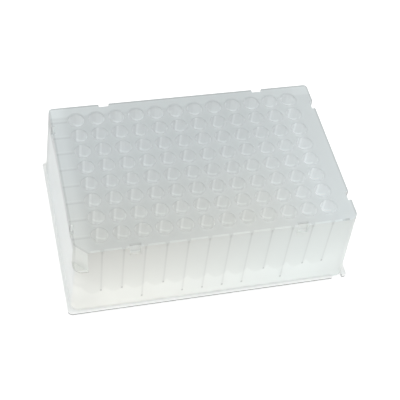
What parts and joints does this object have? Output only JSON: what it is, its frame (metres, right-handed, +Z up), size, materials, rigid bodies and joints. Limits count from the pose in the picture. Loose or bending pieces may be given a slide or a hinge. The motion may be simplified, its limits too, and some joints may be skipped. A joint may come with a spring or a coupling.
{
  "type": "deep-well plate",
  "caption": "Deep-well laboratory plate: round-bottomed wells on a square grid hang from one flat deck inside a ribbed skirt with a thin foot lip.",
  "frame": {"origin": "centre of the footprint, on the surface the plate stands on", "axes": "+X along the long side, towards the last column of wells; +Y along the short side, away from the corner with the flat; +Z up, out of the wells"},
  "size_m": [0.1278, 0.0854, 0.0415],
  "materials": {
    "natural_polypropylene": "satin, milky translucent moulded polypropylene"
  },
  "bodies": {
    "root": {"deep_well_plate": "natural_polypropylene"}
  },
  "joints": []
}
